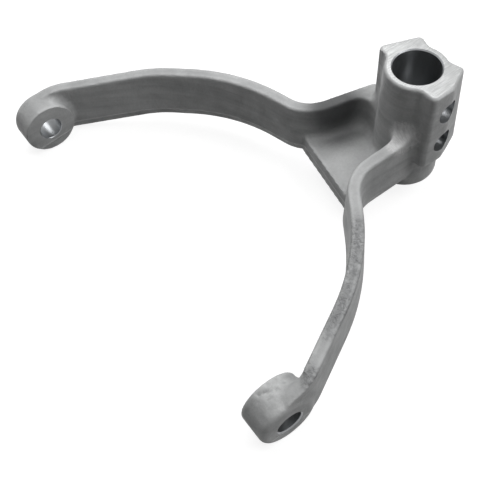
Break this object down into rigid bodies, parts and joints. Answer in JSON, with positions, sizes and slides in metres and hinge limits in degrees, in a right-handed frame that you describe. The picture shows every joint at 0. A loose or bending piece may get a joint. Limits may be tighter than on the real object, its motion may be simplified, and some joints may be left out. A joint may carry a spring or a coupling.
{
  "type": "shift fork",
  "caption": "Cast iron shift fork with a bored hub, drafted arms that swing out from a recessed web, and bored bosses at the arm tips.",
  "frame": {"origin": "centre of the rail bore at the machined top face of the hub", "axes": "+Z out of the machined hub top along the rail bore, +Y across the arms along the pin bores towards the longer arm, and the fork opens towards -X"},
  "size_m": [0.1471, 0.2004, 0.067],
  "materials": {
    "casting": "shot-blasted casting with milled hub top and machined bores"
  },
  "bodies": {
    "root": {"shift_fork": "casting"}
  },
  "joints": []
}
